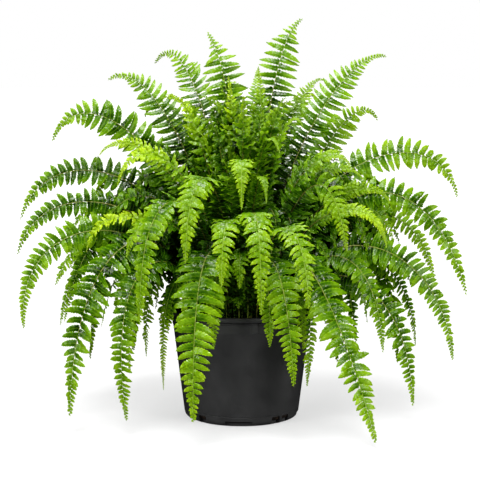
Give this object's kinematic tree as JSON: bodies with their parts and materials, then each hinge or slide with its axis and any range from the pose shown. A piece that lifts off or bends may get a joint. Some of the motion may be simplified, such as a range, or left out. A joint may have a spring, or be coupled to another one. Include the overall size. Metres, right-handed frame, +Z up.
{
  "type": "potted fern",
  "caption": "Bushy Boston-type fern with long arching, drooping fronds of toothed leaflets, growing in a round black plastic nursery pot that stands on its foot.",
  "frame": {"origin": "centre of the pot's flat underside, which stands on the ground", "axes": "+Z up along the pot's axis, -Y the front, +X to the right of the front"},
  "size_m": [0.7723, 0.6273, 0.6842],
  "materials": {
    "pot_plastic": "satin moulded black plastic",
    "potting_soil": null,
    "leaf": null,
    "leaf_young": "semi-glossy lime green young leaf"
  },
  "bodies": {
    "root": {"pot": "pot_plastic", "soil": "potting_soil", "frond_upright_left": "leaf", "frond_upright_right": "leaf", "frond_upright_young": "leaf_young", "frond_upright_back": "leaf", "frond_upright_short": "leaf_young", "frond_high_left_1": "leaf", "frond_high_left_2": "leaf", "frond_high_left_3": "leaf", "frond_high_left_young": "leaf_young", "frond_high_right_1": "leaf", "frond_high_right_2": "leaf", "frond_high_right_3": "leaf", "frond_high_right_4": "leaf", "frond_high_back_1": "leaf", "frond_high_back_2": "leaf", "frond_high_back_3": "leaf", "frond_middle_left_1": "leaf", "frond_middle_left_2": "leaf", "frond_middle_left_3": "leaf", "frond_middle_left_young": "leaf_young", "frond_middle_right_1": "leaf", "frond_middle_right_2": "leaf", "frond_middle_right_3": "leaf", "frond_middle_back_1": "leaf", "frond_middle_back_2": "leaf", "frond_middle_back_3": "leaf", "frond_middle_back_4": "leaf", "frond_middle_back_5": "leaf", "frond_front_young_1": "leaf_young", "frond_front_young_2": "leaf_young", "frond_front_young_3": "leaf_young", "frond_front_young_4": "leaf_young", "frond_front_young_5": "leaf_young", "frond_front_young_6": "leaf_young", "frond_front_young_7": "leaf_young", "frond_front_young_8": "leaf_young", "frond_front_young_9": "leaf_young", "frond_front_young_10": "leaf_young", "frond_front_middle": "leaf", "frond_low_left_1": "leaf", "frond_low_left_2": "leaf", "frond_low_left_3": "leaf", "frond_low_left_4": "leaf", "frond_low_front_1": "leaf", "frond_low_front_2": "leaf", "frond_low_front_3": "leaf", "frond_low_front_4": "leaf", "frond_low_right_1": "leaf", "frond_low_right_2": "leaf", "frond_low_right_3": "leaf", "frond_low_right_4": "leaf", "frond_low_right_5": "leaf", "frond_low_back_1": "leaf", "frond_low_back_2": "leaf", "frond_low_back_3": "leaf", "frond_low_back_4": "leaf", "frond_low_back_5": "leaf", "frond_low_back_6": "leaf"}
  },
  "joints": []
}
